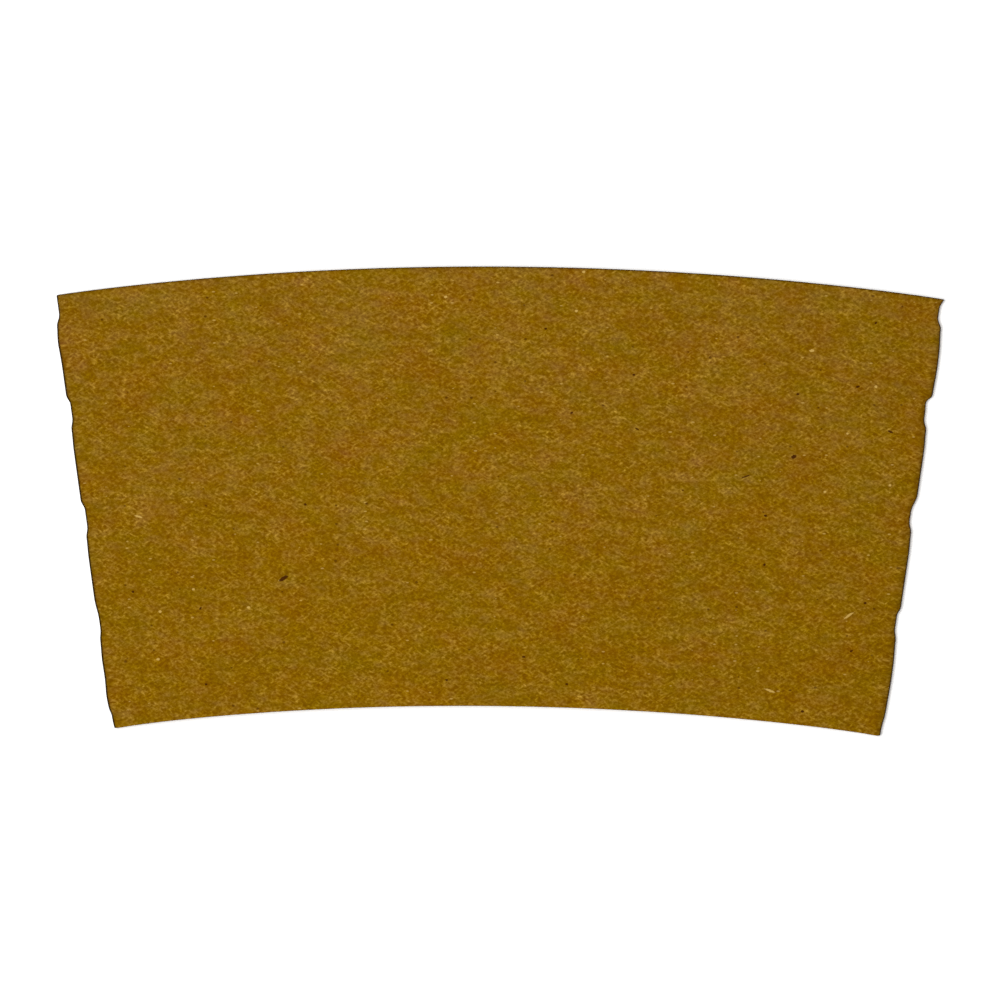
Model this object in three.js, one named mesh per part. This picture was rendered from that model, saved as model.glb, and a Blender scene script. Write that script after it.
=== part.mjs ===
// A paper cup sleeve of kraft board, folded flat as it is shipped, with its glued lap seam underneath.
// It lies on its back: X runs from fold to fold, Y towards the wide rim, Z up. Sizes are in millimetres.
// The outer face is smooth. Straight flutes on the inner face run round the cup. On the press lines
// between two flutes the board is thin, and there both folds are drawn in.

import * as THREE from "three";

// Flat outline, measured along the curved rims from fold to fold, and between the rims
const wideRimSpan = 126.8;
const narrowRimSpan = 109.9;
const bandHeight = 62;

// Board: its thickness on a press line, and what a flute's crest adds to it
const boardThickness = 0.7;
const fluteHeight = 0.6;
const flutePitch = 14.8;
const firstPressLine = 1.9; // from the wide rim, at the folds
const fluteSkew = 0.46; // degrees that the flutes rise to the right

// Notch in a fold at each press line, seen from the wide rim towards the narrow one
const notchLead = 2.1; // from where it starts to the press line
const notchEntry = 0.7; // length of its steep start
const notchFloor = 2.9; // length of its deep part
const notchExit = 1.3; // length of its steep end
const notchTail = 3.6; // length of the slow run-out that follows
const tailShare = 0.3; // depth where the run-out starts, as a share of the notch

// Notch depths fade from the wide rim to the narrow one, and the right fold is drawn in more
const leftNotchWide = 0.58;
const leftNotchNarrow = 0.3;
const rightNotchWide = 0.78;
const rightNotchNarrow = 0.38;
const notchDip = 0.35; // how far each face sinks at a notch
const dipReach = 5; // how far from the fold's bend that sinking runs out

// Lie of the two panels
const foldGap = 0.3; // free space inside the fold
const bowHeight = 1.3; // how far the front panel springs up in its middle

// Lap seam on the back panel
const seamPlace = -17; // end of the outer flap, from the middle of the back panel
const lapWidth = 11;
const pressedPly = 0.82; // thickness of each ply where the lap is pressed
const pressEase = 4; // length over which a ply thins to its pressed thickness
const seamEase = 13; // length over which the raised ply comes back to the table

// Fineness of the faceted solid
const bendSteps = 5; // facets round a fold
const frontColumns = 13;
const backColumns = 5; // on each side of the seam
const ringsPerCrest = 3; // between one notch's run-out and the next notch
const cutGap = 0.05; // width of a cut end's steep face

const { clamp, lerp, smoothstep, degToRad, euclideanModulo } = THREE.MathUtils;

const wideRadius = (bandHeight * wideRimSpan) / (wideRimSpan - narrowRimSpan);
const halfAngle = wideRimSpan / 2 / wideRadius;
const seamRadius = wideRadius - bandHeight / 2; // where the seam's sizes are measured
const crestThickness = boardThickness + fluteHeight;
const foldedThickness = 2 * crestThickness + foldGap;
const skew = degToRad(fluteSkew);
const firstPressHeight = (wideRadius - firstPressLine) * Math.cos(halfAngle);
const flapEndAngle = seamPlace / seamRadius; // the outer flap's cut end
const plyEndAngle = (seamPlace + lapWidth) / seamRadius; // the inner ply's cut end
const bendColumns = [0, 0.25, 0.6, 1].map((share) => share * dipReach); // from a bend's centre

// How far a point lies past the first press line, square to the flutes. The blank's angle is 0 at the
// middle of the front panel and runs on round both folds.
function pastFirstPressLine(radius, blankAngle) {
  return firstPressHeight - radius * Math.cos(blankAngle + skew);
}

// Board thickness: least on the press lines, with a smooth wave between them.
function boardAt(radius, blankAngle) {
  const turns = pastFirstPressLine(radius, blankAngle) / flutePitch;
  return boardThickness + (fluteHeight * (1 - Math.cos(2 * Math.PI * turns))) / 2;
}

// Share of a notch's full depth, at a distance past its start.
function notchShare(past) {
  const floorEnd = notchEntry + notchFloor;
  const exitEnd = floorEnd + notchExit;
  if (past < notchEntry) return smoothstep(past, 0, notchEntry);
  if (past < floorEnd) return 1;
  if (past < exitEnd) return lerp(1, tailShare, smoothstep(past, floorEnd, exitEnd));
  return tailShare * (1 - smoothstep(past, exitEnd, exitEnd + notchTail));
}

// One fold at one radius: how far its faces sink, its bend's outer radius and its bend's centre.
// side is -1 at the left fold and 1 at the right one.
function foldAt(radius, side) {
  const along = pastFirstPressLine(radius, side * halfAngle) / Math.cos(halfAngle);
  const share = notchShare(euclideanModulo(along + notchLead, flutePitch));
  const down = (wideRadius - radius) / bandHeight;
  const deepest = side < 0
    ? lerp(leftNotchWide, leftNotchNarrow, down)
    : lerp(rightNotchWide, rightNotchNarrow, down);
  const sink = notchDip * share;
  const bend = foldedThickness / 2 - sink;
  return { sink, bend, centre: side * (radius * halfAngle - deepest * share - bend) };
}

// At a place on a panel: how far the face sinks, and the wall there, which is the fold's own wall
// near a fold and the fluted board away from it.
function panelAt(place, radius, blankAngle, folds) {
  const fold = place < 0 ? folds.left : folds.right;
  const away = smoothstep(Math.abs(place - fold.centre), 0, dipReach);
  const foldWall = fold.bend - foldGap / 2;
  return {
    sink: fold.sink * (1 - away),
    wall: lerp(foldWall, boardAt(radius, blankAngle), away),
  };
}

// Front panel: the heights of its outer and inner face.
function frontHeights(place, radius, folds) {
  const { sink, wall } = panelAt(place, radius, place / radius, folds);
  const reach = place < 0 ? folds.left.centre : folds.right.centre;
  const bow = bowHeight * (1 - (place / reach) ** 2);
  const outer = foldedThickness - sink + bow;
  return { outer, inner: outer - wall };
}

// Back panel: the flap from the right fold lies on the table, and the ply from the left fold climbs
// over the flap's end and is glued on it.
function backHeights(place, radius, folds) {
  const angle = place / radius;
  const fromFlapEnd = place - flapEndAngle * radius;
  const fromPlyEnd = place - plyEndAngle * radius;
  const foldAngle = (fromFlapEnd < 0 ? -1 : 1) * halfAngle;
  const { sink, wall } = panelAt(place, radius, 2 * foldAngle - angle, folds);
  if (fromFlapEnd < 0) {
    const outer = sink + pressedPly * (1 - smoothstep(-fromFlapEnd, 0, seamEase));
    return { outer, inner: outer + lerp(pressedPly, wall, smoothstep(-fromFlapEnd, 0, pressEase)) };
  }
  if (fromPlyEnd < 0) return { outer: sink, inner: sink + 2 * pressedPly };
  return { outer: sink, inner: sink + lerp(pressedPly, wall, smoothstep(fromPlyEnd, 0, pressEase)) };
}

// Even steps from one place to another, without the first place.
function stepsTo(from, to, count) {
  return Array.from({ length: count }, (_, i) => lerp(from, to, (i + 1) / count));
}

// Where the front panel's columns lie, from left to right.
function frontPlaces({ left, right }) {
  const near = bendColumns.map((distance) => left.centre + distance);
  const far = bendColumns.map((distance) => right.centre - distance).reverse();
  return [...near, ...stepsTo(near.at(-1), far[0], frontColumns).slice(0, -1), ...far];
}

// Where the back panel's columns lie, from left to right. Each cut end takes two, a hair apart.
function backPlaces({ left, right }, radius) {
  const near = bendColumns.map((distance) => left.centre + distance);
  const far = bendColumns.map((distance) => right.centre - distance).reverse();
  const flapEnd = flapEndAngle * radius;
  const plyEnd = plyEndAngle * radius;
  return [
    ...near,
    ...stepsTo(near.at(-1), flapEnd - seamEase, backColumns),
    ...stepsTo(flapEnd - seamEase, flapEnd - pressEase, 2),
    flapEnd - cutGap,
    flapEnd,
    plyEnd - cutGap,
    plyEnd,
    plyEnd + pressEase,
    ...stepsTo(plyEnd + pressEase, far[0], backColumns).slice(0, -1),
    ...far,
  ];
}

// Radius of a point on a ring. Rings lean with the skew of the flutes, apart from the two cut rims.
function radiusAt(down, place) {
  const leaning = clamp(Math.min(down, bandHeight - down) / firstPressLine, 0, 1);
  return wideRadius - down + leaning * Math.tan(skew) * place;
}

// One ring of points round the sleeve, as an outer and an inner loop that match point for point.
function ringAt(down) {
  const reach = (wideRadius - down) * halfAngle;
  const leftRadius = radiusAt(down, -reach);
  const rightRadius = radiusAt(down, reach);
  const folds = { left: foldAt(leftRadius, -1), right: foldAt(rightRadius, 1) };
  const outer = [];
  const inner = [];
  const addPoint = (loop, place, radius, height) => {
    const angle = place / radius;
    loop.push(new THREE.Vector3(radius * Math.sin(angle), radius * Math.cos(angle), height));
  };
  const addPanel = (places, heightsAt) => {
    for (const place of places) {
      const radius = radiusAt(down, place);
      const heights = heightsAt(place, radius, folds);
      addPoint(outer, place, radius, heights.outer);
      addPoint(inner, place, radius, heights.inner);
    }
  };
  const addBend = (fold, radius, side) => {
    for (let i = 1; i < bendSteps; i++) {
      const turn = Math.PI * (i / bendSteps - 0.5);
      const out = side * Math.cos(turn);
      const up = foldedThickness / 2;
      const rise = side * Math.sin(turn);
      addPoint(outer, fold.centre + out * fold.bend, radius, up + rise * fold.bend);
      addPoint(inner, fold.centre + (out * foldGap) / 2, radius, up + (rise * foldGap) / 2);
    }
  };
  addPanel(backPlaces(folds, wideRadius - down), backHeights);
  addBend(folds.right, rightRadius, 1);
  addPanel(frontPlaces(folds).reverse(), frontHeights);
  addBend(folds.left, leftRadius, -1);
  return { outer, inner };
}

// How far down from the wide rim the rings lie: at the corners of each notch, and some between them.
function ringPlaces() {
  const floorEnd = notchEntry + notchFloor;
  const exitEnd = floorEnd + notchExit;
  const tailEnd = exitEnd + notchTail;
  const corners = [0, notchEntry, floorEnd, (floorEnd + exitEnd) / 2, exitEnd, tailEnd];
  const between = stepsTo(tailEnd, flutePitch, ringsPerCrest).slice(0, -1);
  const places = [];
  for (let start = firstPressLine - notchLead - flutePitch; start < bandHeight; start += flutePitch) {
    places.push(...[...corners, ...between].map((corner) => start + corner));
  }
  const inside = places.filter((down) => down > notchEntry / 2 && down < bandHeight - notchEntry / 2);
  return [0, ...inside.sort((a, b) => a - b), bandHeight];
}

// The sleeve as one closed band: its outer face, its inner face and its two cut rims.
function sleeveGeometry() {
  const rings = ringPlaces().map(ringAt);
  const around = rings[0].outer.length;
  const last = rings.length - 1;
  const indices = [];
  const outer = (ring, k) => 2 * ring * around + (k % around);
  const inner = (ring, k) => outer(ring, k) + around;
  const addQuad = (a, b, c, d) => indices.push(a, b, c, a, c, d);
  for (let k = 0; k < around; k++) {
    for (let ring = 0; ring < last; ring++) {
      addQuad(outer(ring, k), outer(ring, k + 1), outer(ring + 1, k + 1), outer(ring + 1, k));
      addQuad(inner(ring, k), inner(ring + 1, k), inner(ring + 1, k + 1), inner(ring, k + 1));
    }
    addQuad(outer(0, k), inner(0, k), inner(0, k + 1), outer(0, k + 1));
    addQuad(outer(last, k), outer(last, k + 1), inner(last, k + 1), inner(last, k));
  }
  const points = rings.flatMap((ring) => [...ring.outer, ...ring.inner]);
  const geometry = new THREE.BufferGeometry().setFromPoints(points);
  geometry.setIndex(indices);
  geometry.computeBoundingBox();
  const middle = geometry.boundingBox.getCenter(new THREE.Vector3());
  geometry.translate(-middle.x, -middle.y, 0);
  geometry.computeVertexNormals();
  return geometry;
}

const kraftBoard = new THREE.MeshStandardMaterial({ color: 0x89620e, roughness: 0.95, metalness: 0 });

const sleeve = new THREE.Mesh(sleeveGeometry(), kraftBoard);
sleeve.name = "sleeve";

const group = new THREE.Group();
group.add(sleeve);

export default group;
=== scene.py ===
# A cup sleeve of kraft board, folded flat and lying on its back, seen from above. Blender 4.5.
# The dictionaries hold millimetres and degrees unless a note says otherwise, and the meshes metres.

import math

import bpy
import numpy as np
from mathutils import Euler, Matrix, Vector


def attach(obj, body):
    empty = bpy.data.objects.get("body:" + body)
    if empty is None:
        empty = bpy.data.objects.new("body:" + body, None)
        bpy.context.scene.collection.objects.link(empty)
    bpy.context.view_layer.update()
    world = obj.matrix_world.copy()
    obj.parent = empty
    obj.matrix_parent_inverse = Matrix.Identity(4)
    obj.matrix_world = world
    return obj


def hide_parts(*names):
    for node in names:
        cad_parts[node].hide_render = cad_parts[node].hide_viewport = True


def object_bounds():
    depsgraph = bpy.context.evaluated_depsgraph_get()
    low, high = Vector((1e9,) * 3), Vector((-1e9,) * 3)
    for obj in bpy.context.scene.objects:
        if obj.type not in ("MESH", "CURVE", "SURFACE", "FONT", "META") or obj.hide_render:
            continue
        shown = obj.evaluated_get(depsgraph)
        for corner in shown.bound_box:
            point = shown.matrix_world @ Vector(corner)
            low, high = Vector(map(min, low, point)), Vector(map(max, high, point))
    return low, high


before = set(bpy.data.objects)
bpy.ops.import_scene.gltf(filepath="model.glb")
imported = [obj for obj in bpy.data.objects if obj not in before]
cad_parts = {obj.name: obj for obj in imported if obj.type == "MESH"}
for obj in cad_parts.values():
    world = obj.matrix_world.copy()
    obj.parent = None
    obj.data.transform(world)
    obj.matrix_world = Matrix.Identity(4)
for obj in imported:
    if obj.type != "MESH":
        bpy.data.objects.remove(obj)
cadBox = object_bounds()
metre = 0.001  # one millimetre in metres
print("frame loaded, CAD box", [round(side / metre, 2) for side in cadBox[1] - cadBox[0]], "mm")


# The sleeve's sizes. A notch is (start, entry, floor, depth): where it starts along the fold from the
# wide rim, the lengths of its sloping entry and its deep part, and how far it draws the fold in.
# A lobe is (place, half width, height) of a slight swelling of the fold.
sleeve = {
    "wideRimSpan": 126.8,
    "narrowRimSpan": 109.9,
    "bandHeight": 62.0,
    "boardThickness": 0.7,
    "fluteHeight": 0.6,
    "flutePitch": 14.8,
    "firstPressLine": 1.9,
    "fluteSkew": 0.46,
    "pressValley": 0.035,
    "valleyHalfWidth": 1.3,
    "leftNotches": (
        (-1.0, 0.8, 3.0, 0.60), (14.2, 1.3, 2.1, 0.43), (29.2, 1.4, 2.5, 0.42),
        (43.2, 3.2, 1.4, 0.28), (59.0, 1.2, 3.0, 0.22),
    ),
    "rightNotches": (
        (-0.9, 2.3, 1.3, 0.80), (13.6, 0.9, 2.5, 0.64), (27.6, 2.5, 1.4, 0.57),
        (43.6, 1.2, 2.0, 0.39), (58.4, 3.0, 2.0, 0.25),
    ),
    "leftLobes": ((6.3, 2.2, 0.14), (52.3, 2.6, 0.10), (57.3, 1.9, 0.18), (62.0, 0.7, -0.10)),
    "rightLobes": ((9.6, 3.0, 0.13), (14.9, 0.7, -0.10), (53.6, 4.2, 0.15)),
    "notchExit": 1.5,
    "notchTail": 3.0,
    "tailShare": 0.22,
    "notchDip": 0.35,
    "dipReach": 5.0,
    "foldGap": 0.3,
    "bowHeight": 1.3,
    "waveHeight": 0.05,
    "waveLengths": (9.1, 17.0, 8.3, 31.0),  # mm for each radian: across, down, down, across
    "seamPlace": -17.0,
    "lapWidth": 11.0,
    "pressedPly": 0.82,
    "pressEase": 4.0,
    "seamEase": 13.0,
    "leftDroop": (0.10, 0.34, 5.0),  # at the wide and the narrow rim, and how far it reaches
    "rightDroop": (0.08, 0.24, 3.0),
    "cutGap": 0.04,
    "cutChamfer": 0.08,
    "edgeRow": 0.2,
    "rowStep": 0.39,
    "nearReach": 6.0,  # how far beside a fold the columns are closer together
    "nearCrowding": 1.3,
    "edgeShares": (0.12, 0.5, 0.88),  # shares of the wall where a cut edge has a row
    "sharpAngle": 50.0,
    "rimPaintedShade": (0.65, 0.3),  # painted shade along the wide rim's edge: how dark, and how wide
    # Painted shade on a fold's outermost line: how dark, and the bend-angle cosines where it starts and is
    # full
    "leftFoldPaintedShade": (0.90, 0.66, 0.84),
    "rightFoldPaintedShade": (0.85, 0.80, 0.94),
}

# How many columns each stretch of the section has
columnCounts = {
    "bend": 12,
    "nearFold": 13,
    "frontMiddle": 80,
    "backLeft": 22,
    "climb": 16,
    "lap": 10,
    "pressEase": 8,
    "backRight": 39,
}


def smooth(share):  # 0 below 0, 1 above 1, and 3 s^2 - 2 s^3 between
    share = np.clip(share, 0, 1)
    return share * share * (3 - 2 * share)


def lerp(start, end, share):  # even blend from start to end
    return start + (end - start) * share


# What follows from the sizes: radii of the two rims about the outline's centre, and the half angle
wideRadius = sleeve["bandHeight"] * sleeve["wideRimSpan"] / (sleeve["wideRimSpan"] - sleeve["narrowRimSpan"])
halfAngle = sleeve["wideRimSpan"] / 2 / wideRadius
seamRadius = wideRadius - sleeve["bandHeight"] / 2
crestThickness = sleeve["boardThickness"] + sleeve["fluteHeight"]
foldedThickness = 2 * crestThickness + sleeve["foldGap"]
flapEndAngle = sleeve["seamPlace"] / seamRadius
plyEndAngle = (sleeve["seamPlace"] + sleeve["lapWidth"]) / seamRadius


# Distance square to the flutes, past the first press line. Flutes are straight in the flat strip, so
# it is a fixed height less radius times the cosine of the strip's angle turned by the skew.
def pastPressLine(radius, stripAngle):
    start = (wideRadius - sleeve["firstPressLine"]) * math.cos(halfAngle)
    return start - radius * np.cos(stripAngle + math.radians(sleeve["fluteSkew"]))


# Wall thickness: a cosine wave, least on the press lines.
def boardWall(radius, stripAngle):
    turns = pastPressLine(radius, stripAngle) / sleeve["flutePitch"]
    return sleeve["boardThickness"] + sleeve["fluteHeight"] * (1 - np.cos(2 * np.pi * turns)) / 2


# Valley in the outer face on each press line: a bell curve of the distance from the nearest line.
def pressValley(radius, stripAngle):
    pitch = sleeve["flutePitch"]
    distance = (pastPressLine(radius, stripAngle) + pitch / 2) % pitch - pitch / 2
    return sleeve["pressValley"] * np.exp(-((distance / sleeve["valleyHalfWidth"]) ** 2))


# Share of a notch's depth, past its start: a sloping entry, a deep part, a steep end, a slow run-out.
def notchShare(past, entry, floor):
    exitStart = entry + floor
    exitEnd = exitStart + sleeve["notchExit"]
    tail = sleeve["tailShare"]
    steepEnd = lerp(1, tail, smooth((past - exitStart) / sleeve["notchExit"]))
    runOut = tail * (1 - smooth((past - exitEnd) / sleeve["notchTail"]))
    ways = [past < entry, past < exitStart, past < exitEnd]
    return np.select(ways, [smooth(past / entry), np.ones_like(past), steepEnd], runOut)


# One fold for every row: how far the faces sink, and the bend's outer radius and centre. The fold is
# drawn in by the deepest of its notches at that row, and swells by its bell-shaped lobes.
def foldRows(down, notches, lobes, side):
    start, entry, floor, depth = np.array(notches).T
    drawn = (notchShare(down - start, entry, floor) * depth).max(axis=1, keepdims=True)
    place, width, height = np.array(lobes).T
    swell = (height * np.exp(-(((down - place) / width) ** 2))).sum(axis=1, keepdims=True)
    sink = sleeve["notchDip"] * drawn / depth.max()
    bend = foldedThickness / 2 - sink
    radius = wideRadius - down
    return {"sink": sink, "bend": bend, "centre": side * (radius * halfAngle - drawn + swell - bend)}


# Face sink and wall on a panel: the fold's own near the fold, the fluted board's away from it.
def panelRows(place, radius, stripAngle, left, right):
    onLeft = place < 0
    sink = np.where(onLeft, left["sink"], right["sink"])
    bend = np.where(onLeft, left["bend"], right["bend"])
    centre = np.where(onLeft, left["centre"], right["centre"])
    away = smooth(np.abs(place - centre) / sleeve["dipReach"])
    wall = lerp(bend - sleeve["foldGap"] / 2, boardWall(radius, stripAngle), away)
    return sink * (1 - away), wall, away


# Front panel: a parabola across the panel, less the sink at the folds and the press valleys, plus
# long low waves, a product of two sines. The inner face lies a wall below it.
def frontPanel(radius, left, right):
    near = left["centre"] + nearColumns
    far = right["centre"] - nearColumns[::-1]
    middle = lerp(near[:, -1:], far[:, :1], np.linspace(0, 1, columnCounts["frontMiddle"] + 2)[1:-1])
    place = np.concatenate([near, middle, far], axis=1)
    stripAngle = place / radius
    sink, wall, away = panelRows(place, radius, stripAngle, left, right)
    reach = np.where(place < 0, left["centre"], right["centre"])
    bow = sleeve["bowHeight"] * (1 - (place / reach) ** 2)
    first, second, third, fourth = sleeve["waveLengths"]
    waves = np.sin(place / first + radius / second) * np.sin(radius / third - place / fourth + 1)
    ripple = sleeve["waveHeight"] * away * waves
    outer = foldedThickness - sink + bow + ripple - pressValley(radius, stripAngle) * away
    order = slice(None, None, -1)  # the loop runs back along the front, from the right fold
    inner = outer - wall
    return [part[:, order] for part in (place, place, outer, inner, stripAngle, 0 * place)]


def stepsTo(start, end, count):  # even steps after the start, up to the end
    return lerp(start, end, np.linspace(0, 1, count + 1)[1:])


# Back panel: the flap from the right fold lies flat on the table, and the ply from the left fold
# climbs over the flap's end and is glued on it.
def backPanel(radius, left, right):
    near = left["centre"] + nearColumns
    far = right["centre"] - nearColumns[::-1]
    flapEnd = flapEndAngle * radius
    plyEnd = plyEndAngle * radius
    climb = flapEnd - sleeve["seamEase"]
    gap = sleeve["cutGap"]
    place = np.concatenate([
        near,
        stepsTo(near[:, -1:], climb, columnCounts["backLeft"]),
        stepsTo(climb, flapEnd - gap, columnCounts["climb"]),
        flapEnd,
        stepsTo(flapEnd, plyEnd - gap, columnCounts["lap"]),
        plyEnd,
        stepsTo(plyEnd, plyEnd + sleeve["pressEase"], columnCounts["pressEase"]),
        stepsTo(plyEnd + sleeve["pressEase"], far[:, :1], columnCounts["backRight"] + 1)[:, :-1],
        far,
    ], axis=1)
    angle = place / radius
    onFlap = place > flapEnd - gap / 2
    stripAngle = np.where(onFlap, 2 * halfAngle, -2 * halfAngle) - angle
    sink, wall, away = panelRows(place, radius, stripAngle, left, right)
    ply = sleeve["pressedPly"]
    climbed = ply * (1 - smooth((flapEnd - place) / sleeve["seamEase"]))
    thinned = lerp(ply, wall, smooth((flapEnd - place) / sleeve["pressEase"]))
    beyond = lerp(ply, wall, smooth((place - plyEnd) / sleeve["pressEase"]))
    outer = np.where(onFlap, sink, sink + climbed)
    thickness = np.where(onFlap, np.where(place > plyEnd - gap / 2, beyond, 2 * ply), thinned)
    return [place, place, outer, outer + thickness, stripAngle, 0 * place]


# A fold's bend: a half circle of the fold's radius outside and half the fold's gap inside. The strip's
# angle runs evenly over it, from the front panel's to the back panel's.
def foldBend(radius, fold, side, paintedShadeLine):
    turn = math.pi * (np.linspace(0, 1, columnCounts["bend"] + 2)[1:-1] - 0.5)
    reachOut = side * np.cos(turn)
    rise = side * np.sin(turn)
    middle = foldedThickness / 2
    small = sleeve["foldGap"] / 2
    outerPlace = fold["centre"] + reachOut * fold["bend"]
    innerPlace = fold["centre"] + reachOut * small + 0 * radius
    outer = middle + rise * fold["bend"]
    inner = middle + rise * small + 0 * radius
    spread = radius * halfAngle - side * fold["centre"]
    stripAngle = side * halfAngle - turn / (math.pi / 2) * spread / radius
    # Painted shade on the bend's outermost line, where it turns away from the light
    darkness, start, end = paintedShadeLine
    shade = darkness * smooth((np.abs(reachOut) - start) / (end - start)) + 0 * outer
    return [outerPlace, innerPlace, outer, inner, stripAngle, shade]


# The section's loop for every row: back panel, right bend, front panel, left bend.
def sectionRows(down):
    radius = wideRadius - down
    left = foldRows(down, sleeve["leftNotches"], sleeve["leftLobes"], -1)
    right = foldRows(down, sleeve["rightNotches"], sleeve["rightLobes"], 1)
    parts = [
        backPanel(radius, left, right),
        foldBend(radius, right, 1, sleeve["rightFoldPaintedShade"]),
        frontPanel(radius, left, right),
        foldBend(radius, left, -1, sleeve["leftFoldPaintedShade"]),
    ]
    return [np.concatenate(stretches, axis=1) for stretches in zip(*parts)]


# How much further down than its arc a rim runs near a fold: it dies off with the distance from it.
def rimDroop(place, radius, down):
    total = 0
    for side, key in ((-1, "leftDroop"), (1, "rightDroop")):
        wide, narrow, reach = sleeve[key]
        fromFold = radius * halfAngle - side * place
        drop = lerp(wide, narrow, down / sleeve["bandHeight"])
        total = total + drop * np.exp(-np.maximum(fromFold, 0) / reach)
    return total


# The whole sleeve as a closed grid: its rows run over the outer face, the narrow rim, the inner face
# and the wide rim. A row is (row of the section, share of the wall from the outer face).
def sleeveGrid():
    height = sleeve["bandHeight"]
    chamfer = sleeve["cutChamfer"]
    faceRows = np.linspace(chamfer, height - chamfer, round(height / sleeve["rowStep"]))
    edgeRow = sleeve["edgeRow"]
    wideRim = [0, chamfer, edgeRow]
    narrowRim = [height - edgeRow, height - chamfer, height]
    downRows = np.concatenate([wideRim, faceRows[1:-1], narrowRim])
    last = len(downRows) - 1
    down = downRows[:, None]
    outerPlace, innerPlace, outer, inner, stripAngle, foldPaintedShade = sectionRows(down)
    across = np.arange(1, last)
    rims = np.array(sleeve["edgeShares"])
    rows = np.concatenate([across, [last] * len(rims), across[::-1], [0] * len(rims)])
    share = np.concatenate([0 * across, rims, 0 * across + 1, rims[::-1]])[:, None]
    radius = wideRadius - down[rows]
    place = lerp(outerPlace[rows], innerPlace[rows], share)
    lift = lerp(outer[rows], inner[rows], share)
    angle = place / radius
    drooped = radius - rimDroop(place, radius, down[rows])
    points = np.stack([drooped * np.sin(angle), drooped * np.cos(angle), lift], axis=-1)
    strip = stripAngle[rows]
    thickness = np.hypot(outerPlace - innerPlace, outer - inner)[rows]
    onStrip = np.stack([radius * np.sin(strip), radius * np.cos(strip), share * thickness], axis=-1)
    # Painted shade: darker along the wide rim's edge, and on the folds' outermost lines of the outer face
    darkness, width = sleeve["rimPaintedShade"]
    rimPaintedShade = darkness * (1 - smooth(down[rows] / width)) + 0 * strip
    return points, onStrip, np.maximum(rimPaintedShade, foldPaintedShade[rows] * (share == 0)), share


# Places of the columns beside a fold, from its bend's centre: even steps raised to a power
nearColumns = np.linspace(0, 1, columnCounts["nearFold"]) ** sleeve["nearCrowding"] * sleeve["nearReach"]
points, onStrip, paintedEdgeShade, share = sleeveGrid()
rowCount, columnCount = points.shape[:2]
narrowRimFoot = (wideRadius - sleeve["bandHeight"]) * math.cos(halfAngle)
shift = np.array([0.0, (wideRadius + narrowRimFoot) / 2, 0.0])
cadMiddle = np.array([(cadBox[0].x + cadBox[1].x) / 2, (cadBox[0].y + cadBox[1].y) / 2, cadBox[0].z])
points = (points - shift) * metre + cadMiddle
onStrip = onStrip - shift
print("sleeve grid of", rowCount, "rows and", columnCount, "columns")


# Closed quad mesh from the grid: corner k of a quad is the grid point one row or column further on,
# with both directions wrapping round.
def gridMesh(name, points):
    rows, columns = points.shape[:2]
    corner = np.arange(rows * columns).reshape(rows, columns)
    right = np.roll(corner, -1, axis=1)
    quads = np.stack([corner, right, np.roll(right, -1, axis=0), np.roll(corner, -1, axis=0)], axis=-1)
    mesh = bpy.data.meshes.new(name)
    mesh.vertices.add(rows * columns)
    mesh.vertices.foreach_set("co", points.astype(np.float32).ravel())
    mesh.loops.add(quads.size)
    mesh.loops.foreach_set("vertex_index", quads.astype(np.int32).ravel())
    mesh.polygons.add(rows * columns)
    mesh.polygons.foreach_set("loop_start", np.arange(0, quads.size, 4, dtype=np.int32))
    mesh.polygons.foreach_set("use_smooth", np.ones(rows * columns, dtype=bool))
    mesh.update(calc_edges=True)
    mesh.set_sharp_from_angle(angle=math.radians(sleeve["sharpAngle"]))
    return mesh


sleeveMesh = gridMesh("kraftSleeve", points)
sleeveMesh.attributes.new("onStrip", "FLOAT_VECTOR", "POINT").data.foreach_set(
    "vector", onStrip.astype(np.float32).ravel())
sleeveMesh.attributes.new("paintedEdgeShade", "FLOAT", "POINT").data.foreach_set(
    "value", paintedEdgeShade.astype(np.float32).ravel())
kraftSleeve = bpy.data.objects.new("kraftSleeve", sleeveMesh)
bpy.context.scene.collection.objects.link(kraftSleeve)
print("sleeve mesh made,", len(sleeveMesh.polygons), "faces")


# Adds a node with its settings, and links or sets its inputs, which are named or numbered.
def put(tree, kind, settings=None, inputs=None):
    node = tree.nodes.new(kind)
    for name, value in (settings or {}).items():
        setattr(node, name, value)
    for name, value in (inputs or {}).items():
        if isinstance(value, bpy.types.NodeSocket):
            tree.links.new(value, node.inputs[name])
        else:
            node.inputs[name].default_value = value
    return node


def maths(tree, operation, *values):
    return put(tree, "ShaderNodeMath", {"operation": operation}, dict(enumerate(values))).outputs[0]


def blend(tree, share, first, second, mode="MIX"):
    settings = {"data_type": "RGBA", "blend_type": mode}
    return put(tree, "ShaderNodeMix", settings, {0: share, 6: first, 7: second}).outputs[2]


def mapped(tree, value, low, high, outLow=0.0, outHigh=1.0):
    inputs = {"Value": value, "From Min": low, "From Max": high, "To Min": outLow, "To Max": outHigh}
    settings = {"interpolation_type": "SMOOTHSTEP"}
    return put(tree, "ShaderNodeMapRange", settings, inputs).outputs["Result"]


def newGroup(name, inputs, outputs):
    group = bpy.data.node_groups.new(name, "ShaderNodeTree")
    for socket, kind in inputs.items():
        group.interface.new_socket(socket, in_out="INPUT", socket_type="NodeSocket" + kind)
    for socket, kind in outputs.items():
        group.interface.new_socket(socket, in_out="OUTPUT", socket_type="NodeSocket" + kind)
    return group, put(group, "NodeGroupInput").outputs, put(group, "NodeGroupOutput").inputs


def useGroup(tree, group, **inputs):
    return put(tree, "ShaderNodeGroup", {"node_tree": group}, inputs).outputs


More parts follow.
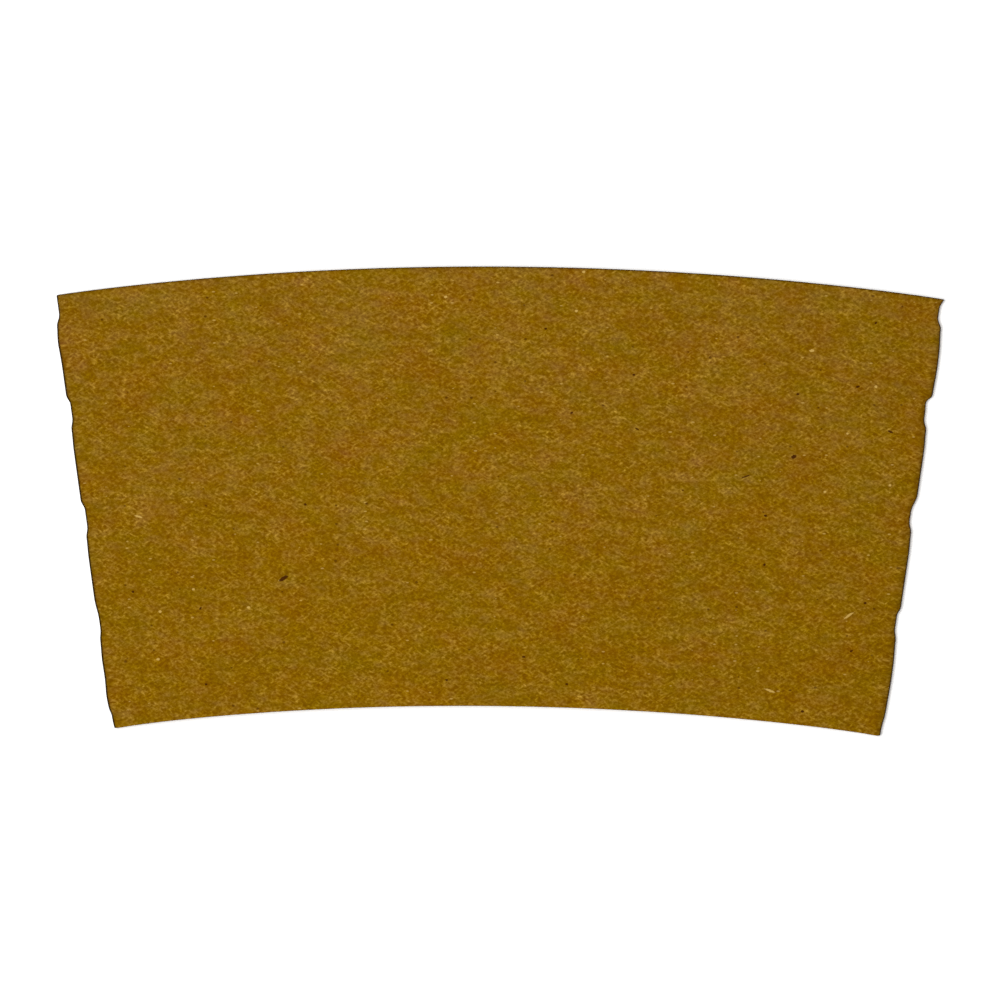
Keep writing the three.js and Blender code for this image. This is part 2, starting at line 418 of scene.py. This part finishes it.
# Noise in an oval cell of the strip, with the strip turned by an angle and shifted to another place.
def makeCloudGroup():
    inputs = {"Place": "Vector", "Length": "Float", "Width": "Float", "Turn": "Float", "Shift": "Float"}
    group, given, result = newGroup("boardCloud", inputs, {"Value": "Float"})
    turned = put(group, "ShaderNodeVectorRotate", {"rotation_type": "Z_AXIS"},
                 {"Vector": given["Place"], "Angle": given["Turn"]}).outputs[0]
    along = maths(group, "DIVIDE", 1.0, given["Length"])
    across = maths(group, "DIVIDE", 1.0, given["Width"])
    scale = put(group, "ShaderNodeCombineXYZ", None, {0: along, 1: across, 2: across}).outputs[0]
    shift = put(group, "ShaderNodeCombineXYZ", None, {0: given["Shift"], 1: given["Shift"]}).outputs[0]
    cell = put(group, "ShaderNodeVectorMath", {"operation": "MULTIPLY_ADD"}, {0: turned, 1: scale, 2: shift})
    noise = put(group, "ShaderNodeTexNoise", None,
                {"Vector": cell.outputs[0], "Scale": 1.0, "Detail": 2.0, "Roughness": 0.6})
    group.links.new(maths(group, "SUBTRACT", noise.outputs[0], 0.5), result["Value"])
    return group


# Fibre grain: the larger of two such noises, turned a little each way, so that fibres cross.
def makeGrainGroup():
    inputs = {"Place": "Vector", "Length": "Float", "Width": "Float", "Turn": "Float"}
    group, given, result = newGroup("boardGrain", inputs, {"Value": "Float"})
    size = {"Place": given["Place"], "Length": given["Length"], "Width": given["Width"]}
    back = maths(group, "MULTIPLY", given["Turn"], -1.0)
    first = useGroup(group, boardCloud, Turn=given["Turn"], Shift=0.0, **size)[0]
    second = useGroup(group, boardCloud, Turn=back, Shift=37.0, **size)[0]
    group.links.new(maths(group, "MAXIMUM", first, second), result["Value"])
    return group


# Specks: cells of the strip, each with one ellipse at a random place, of which a share is kept.
def makeSpeckGroup():
    inputs = {"Place": "Vector", "Spacing": "Float", "Stretch": "Float", "Radius": "Float", "Kept": "Float"}
    group, given, result = newGroup("boardSpecks", inputs, {"Mask": "Float"})
    across = maths(group, "DIVIDE", 1.0, given["Spacing"])
    along = maths(group, "DIVIDE", across, given["Stretch"])
    scale = put(group, "ShaderNodeCombineXYZ", None, {0: along, 1: across, 2: across}).outputs[0]
    scaled = put(group, "ShaderNodeVectorMath", {"operation": "MULTIPLY"}, {0: given["Place"], 1: scale})
    cells = put(group, "ShaderNodeTexVoronoi", {"voronoi_dimensions": "2D"},
                {"Vector": scaled.outputs[0], "Scale": 1.0, "Randomness": 1.0})
    draw = put(group, "ShaderNodeSeparateColor", None, {0: cells.outputs["Color"]}).outputs
    kept = maths(group, "LESS_THAN", draw[0], given["Kept"])
    least, spread = 0.5, 0.7  # shares of the radius
    size = maths(group, "MULTIPLY", given["Radius"], maths(group, "MULTIPLY_ADD", draw[1], spread, least))
    fromCentre = maths(group, "MULTIPLY", cells.outputs["Distance"], given["Spacing"])
    ratio = maths(group, "DIVIDE", fromCentre, size)
    outside, inside = 1.3, 0.7  # shares of the speck's size where its edge starts and is full
    mask = maths(group, "MULTIPLY", mapped(group, ratio, outside, inside), kept)
    group.links.new(mask, result["Mask"])
    return group


# One fleck: an ellipse at a place, turned, with its edge roughened by noise.
def makeFleckGroup():
    inputs = {"Place": "Vector", "Centre": "Vector", "Length": "Float", "Width": "Float", "Turn": "Float"}
    group, given, result = newGroup("boardFleck", inputs, {"Mask": "Float"})
    local = put(group, "ShaderNodeVectorMath", {"operation": "SUBTRACT"},
                {0: given["Place"], 1: given["Centre"]})
    turned = put(group, "ShaderNodeVectorRotate", {"rotation_type": "Z_AXIS"},
                 {"Vector": local.outputs[0], "Angle": maths(group, "MULTIPLY", given["Turn"], -1.0)})
    axes = put(group, "ShaderNodeSeparateXYZ", None, {0: turned.outputs[0]}).outputs
    along = maths(group, "DIVIDE", axes[0], maths(group, "MULTIPLY", given["Length"], 0.5))
    across = maths(group, "DIVIDE", axes[1], maths(group, "MULTIPLY", given["Width"], 0.5))
    square = maths(group, "MULTIPLY_ADD", along, along, maths(group, "MULTIPLY", across, across))
    noise = put(group, "ShaderNodeTexNoise", None,
                {"Vector": given["Place"], "Scale": 4.0, "Detail": 1.0, "Roughness": 0.5}).outputs[0]
    ragged = 1.6  # how much the noise moves the edge
    rough = maths(group, "MULTIPLY_ADD", noise, ragged, -ragged / 2)
    outside, inside = 1.35, 0.55  # squared shares of the ellipse where its edge starts and is full
    mask = mapped(group, maths(group, "ADD", square, rough), outside, inside)
    group.links.new(mask, result["Mask"])
    return group


boardCloud = makeCloudGroup()
boardGrain = makeGrainGroup()
boardSpecks = makeSpeckGroup()
boardFleck = makeFleckGroup()
print("node groups made")


# Board colours are linear shares of red, green and blue, and lift is what a full shade adds to each.
# A cloud is (length, width, strength in shades of 255, turn in radians, shift to another place of noise).
# Random specks are (spacing, stretch, radius, share kept, strength). A fleck is (x, y, length, width,
# turn in degrees), with its place seen from above.
board = {
    "brown": (0.1955, 0.0909, 0.0003),
    "lift": (0.90, 0.60, 0.103),
    "darkFleck": (0.050, 0.012, 0.001, 1),
    "lightFleck": (0.58, 0.38, 0.10, 1),
    "darkStrength": 0.95,
    "lightStrength": 0.75,
    "grain": (0.84, 0.36, 108.0, 0.5),  # a cloud with no shift
    "grit": (0.45, 0.41, 57.0, 0.0, 83.0),
    "thicket": (4.0, 2.4, 510.0, 0.2, 71.0),  # where the grain is stronger or weaker
    "patch": (2.4, 1.4, 32.0, 0.1, 3.0),
    "cloud": (11.0, 7.0, 13.0, -0.2, 11.0),
    "bluePatch": (2.4, 1.3, 66.0, 0.15, 23.0),
    "blueCloud": (10.0, 7.0, 30.0, 0.3, 41.0),
    "rust": (8.0, 5.0, 13.0, 0.0, 59.0),
    "glint": 5.0,  # how much more the light fibres stand out than the dark gaps
    "blueShare": 1.2,  # how much more the patches and clouds show in blue
    "drift": 0.19,  # shades of blue that the board gains for each millimetre towards the wide rim
    "grainRange": (-0.03, 0.05),  # grain of the gaps and of the fibres
    "roughness": (0.98, 0.86),  # of the gaps and of the fibres
    "specular": 0.02,
    "reliefHeight": 0.0003,  # metres
    "paleSpecks": (1.4, 2.2, 0.09, 0.12, 0.5),
    "darkSpecks": (2.9, 1.3, 0.14, 0.20, 0.6),
    "darkFlecks": (
        (-29.9, -11.3, 1.5, 0.55, 30), (42.0, 6.4, 0.72, 0.51, 20), (55.5, 10.0, 0.77, 0.34, -25),
        (42.5, 15.2, 0.42, 0.34, 0), (53.3, 25.2, 0.42, 0.34, 40), (50.9, 16.3, 0.59, 0.3, 15),
        (38.1, -1.9, 0.51, 0.34, 0), (38.0, -8.8, 0.42, 0.34, 60), (52.2, -14.1, 0.42, 0.34, 0),
        (50.3, -20.9, 0.51, 0.3, 30), (43.5, -29.5, 0.51, 0.34, 0), (-51.5, -13.4, 0.42, 0.34, 0),
        (-41.0, -26.5, 0.42, 0.34, 0), (-41.8, -15.7, 0.42, 0.3, 50), (-26.8, -0.8, 0.51, 0.3, -30),
        (7.1, 24.2, 0.42, 0.3, 0), (19.5, 17.8, 0.42, 0.3, 0), (10.8, 12.4, 0.42, 0.3, 20),
        (4.2, -22.1, 0.51, 0.3, 0), (10.3, -25.9, 0.42, 0.3, 0), (-6.7, -25.5, 0.42, 0.3, 0),
        (20.0, 10.2, 0.59, 0.21, -25), (35.3, 3.6, 1.3, 0.2, 20),
    ),
    "lightFlecks": (
        (53.4, 16.3, 0.42, 0.38, 0), (44.4, 21.3, 0.68, 0.42, 10), (49.5, 9.7, 0.38, 0.3, -20),
        (55.5, 2.5, 0.42, 0.34, 0), (49.9, -15.9, 1.6, 0.3, 35), (38.9, -26.6, 1.6, 0.3, -20),
        (46.4, 1.5, 0.42, 0.34, 0), (-50.7, -2.7, 1.1, 0.28, -15), (-47.6, -16.2, 0.51, 0.34, 0),
        (-34.9, -15.5, 0.51, 0.34, 0), (-42.8, -13.0, 0.42, 0.34, 0), (-47.9, -23.0, 0.51, 0.34, 0),
        (-7.0, 28.6, 0.51, 0.34, 0), (12.4, 32.2, 0.42, 0.34, 0), (11.4, 26.7, 0.42, 0.34, 0),
    ),
}


# Masks of a list of flecks, joined by taking the largest.
def fleckMask(tree, place, flecks):
    total = None
    for x, y, length, width, turn in flecks:
        mask = useGroup(tree, boardFleck, Place=place, Centre=(x, y, 0.0), Length=length, Width=width,
                        Turn=math.radians(turn))[0]
        total = mask if total is None else maths(tree, "MAXIMUM", total, mask)
    return total


# Kraft board: cloudy tones under fibre grain, pale and dark flecks, painted shade at the edges. Bump follows
# the grain.
def makeBoard(name, flecks, tone, relief):
    material = bpy.data.materials.new(name)
    material.use_nodes = True
    tree = material.node_tree
    tree.nodes.clear()
    place = put(tree, "ShaderNodeAttribute", {"attribute_name": "onStrip"}).outputs["Vector"]
    paintedEdgeShade = put(tree, "ShaderNodeAttribute", {"attribute_name": "paintedEdgeShade"}).outputs["Fac"]

    def cloudOf(key):  # one of the clouds above
        length, width, strength, turn, shift = board[key]
        cloud = useGroup(tree, boardCloud, Place=place, Length=length, Width=width, Turn=turn, Shift=shift)
        return maths(tree, "MULTIPLY", cloud[0], strength / 255)

    length, width, strength, turn = board["grain"]
    fibres = useGroup(tree, boardGrain, Place=place, Length=length, Width=width, Turn=turn)[0]
    grain = maths(tree, "MULTIPLY", fibres, strength / 255)
    thicket = maths(tree, "ADD", cloudOf("thicket"), 1.0)
    fine = maths(tree, "ADD", maths(tree, "MULTIPLY", grain, thicket), cloudOf("grit"))
    slow = maths(tree, "ADD", cloudOf("patch"), cloudOf("cloud"))
    even = maths(tree, "ADD", fine, slow)
    grey = maths(tree, "MULTIPLY", even, maths(tree, "MULTIPLY_ADD", even, board["glint"], 1.0))
    rust = cloudOf("rust")
    across = put(tree, "ShaderNodeSeparateXYZ", None, {0: place}).outputs[1]
    drift = maths(tree, "MULTIPLY", across, board["drift"] / 255)
    blue = maths(tree, "ADD", maths(tree, "ADD", cloudOf("bluePatch"), cloudOf("blueCloud")), drift)
    blue = maths(tree, "MULTIPLY_ADD", slow, board["blueShare"], blue)
    shades = (
        maths(tree, "ADD", grey, rust),
        maths(tree, "SUBTRACT", grey, rust),
        maths(tree, "ADD", grey, blue),
    )
    channels = [
        maths(tree, "MAXIMUM", maths(tree, "MULTIPLY_ADD", shade, lift, tone * base), 0.0)
        for shade, lift, base in zip(shades, board["lift"], board["brown"])
    ]
    colour = put(tree, "ShaderNodeCombineColor", None, dict(enumerate(channels))).outputs[0]

    for key, over in (("paleSpecks", "lightFleck"), ("darkSpecks", "darkFleck")):
        spacing, stretch, radius, kept, strength = board[key]
        mask = useGroup(tree, boardSpecks, Place=place, Spacing=spacing, Stretch=stretch,
                        Radius=radius, Kept=kept)[0]
        colour = blend(tree, maths(tree, "MULTIPLY", mask, strength), colour, board[over])
    if flecks:
        for key, strength, over in (("lightFlecks", "lightStrength", "lightFleck"),
                                    ("darkFlecks", "darkStrength", "darkFleck")):
            mask = fleckMask(tree, place, board[key])
            colour = blend(tree, maths(tree, "MULTIPLY", mask, board[strength]), colour, board[over])
    # Painted shade along the wide rim's edge and the folds' outermost lines, multiplied into the colour
    edge = maths(tree, "SUBTRACT", 1.0, paintedEdgeShade)
    paintedShadeGrey = put(tree, "ShaderNodeCombineColor", None, {0: edge, 1: edge, 2: edge}).outputs[0]
    colour = blend(tree, 1.0, colour, paintedShadeGrey, "MULTIPLY")

    roughness = mapped(tree, fine, *board["grainRange"], *board["roughness"])
    bump = put(tree, "ShaderNodeBump", None,
               {"Strength": relief, "Distance": board["reliefHeight"], "Height": fine}).outputs[0]
    shader = put(tree, "ShaderNodeBsdfPrincipled", None, {
        "Base Color": colour,
        "Roughness": roughness,
        "Specular IOR Level": board["specular"],
        "Normal": bump,
    })
    put(tree, "ShaderNodeOutputMaterial", None, {"Surface": shader.outputs[0]})
    return material


# The board's sides, in the order of sideOfRow: (has flecks, tone, strength of the relief)
boardSides = {
    "outerBoard": (True, 1.0, 0.5),
    "innerBoard": (False, 0.94, 0.7),
    "cutBoard": (False, 0.9, 1.0),
}
for name, (flecks, tone, relief) in boardSides.items():
    sleeveMesh.materials.append(makeBoard(name, flecks, tone, relief))
isRim = (share > 0) & (share < 1)
sideOfRow = np.where(isRim, 2, share)[:, 0]
sideOfFace = np.repeat(sideOfRow, columnCount)
sleeveMesh.polygons.foreach_set("material_index", sideOfFace.astype(np.int32))
sleeveMesh.update()
print("materials made")

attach(kraftSleeve, "root")
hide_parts("sleeve")


# The table: one plain square, pale and matt. It glows a little, so that it is white right up to the
# sleeve, as the photo's ground is.
table = {
    "side": 4.0,  # metres
    "colour": (0.97, 0.97, 0.97, 1),
    "glow": 0.25,
}


def makeTable():
    half = table["side"] / 2
    corners = [(-half, -half, 0), (half, -half, 0), (half, half, 0), (-half, half, 0)]
    mesh = bpy.data.meshes.new("table")
    mesh.from_pydata(corners, [], [(0, 1, 2, 3)])
    material = bpy.data.materials.new("tableTop")
    material.use_nodes = True
    shader = material.node_tree.nodes["Principled BSDF"]
    shader.inputs["Base Color"].default_value = table["colour"]
    shader.inputs["Emission Color"].default_value = table["colour"]
    shader.inputs["Emission Strength"].default_value = table["glow"]
    shader.inputs["Roughness"].default_value = 1.0
    shader.inputs["Specular IOR Level"].default_value = 0.0
    mesh.materials.append(material)
    top = bpy.data.objects.new("table", mesh)
    bpy.context.scene.collection.objects.link(top)
    return top


makeTable()


# Studio light: a soft panel overhead, and an even pale room.
studio = {
    "panelPlace": (-0.035, 0.03, 0.45),  # metres
    "panelSide": 0.15,  # metres
    "panelPower": 2.1,  # watts
    "room": (1.0, 1.0, 1.0, 1),
    "roomStrength": 0.15,
}


def makeLight():
    data = bpy.data.lights.new("softPanel", "AREA")
    data.shape = "SQUARE"
    data.size = studio["panelSide"]
    data.energy = studio["panelPower"]
    panel = bpy.data.objects.new("softPanel", data)
    panel.location = studio["panelPlace"]
    bpy.context.scene.collection.objects.link(panel)
    world = bpy.data.worlds.new("room")
    world.use_nodes = True
    backdrop = world.node_tree.nodes["Background"]
    backdrop.inputs["Color"].default_value = studio["room"]
    backdrop.inputs["Strength"].default_value = studio["roomStrength"]
    bpy.context.scene.world = world


makeLight()


# Camera: straight above, a little to the right and towards the wide rim. It is turned by tilt about X,
# swing about Y and roll about its own axis.
camera = {
    "place": (37.17, 36.98, 600.0),
    "tilt": -3.546,
    "swing": 3.490,
    "roll": 0.438,
    "focalLength": 152.87,
    "sensorWidth": 36.0,
    "nearClip": 0.01,  # metres
    "farClip": 20.0,  # metres
}


def makeCamera():
    data = bpy.data.cameras.new("camera")
    data.lens = camera["focalLength"]
    data.sensor_width = camera["sensorWidth"]
    data.clip_start = camera["nearClip"]
    data.clip_end = camera["farClip"]
    eye = bpy.data.objects.new("camera", data)
    eye.location = Vector(camera["place"]) * metre
    turn = [math.radians(camera[way]) for way in ("tilt", "swing", "roll")]
    eye.rotation_mode = "ZYX"
    eye.rotation_euler = Euler(turn, "ZYX")
    bpy.context.scene.collection.objects.link(eye)
    bpy.context.scene.camera = eye


makeCamera()
bpy.context.scene.view_settings.view_transform = "Standard"
bpy.context.scene.view_settings.look = "None"
print("light and camera placed")
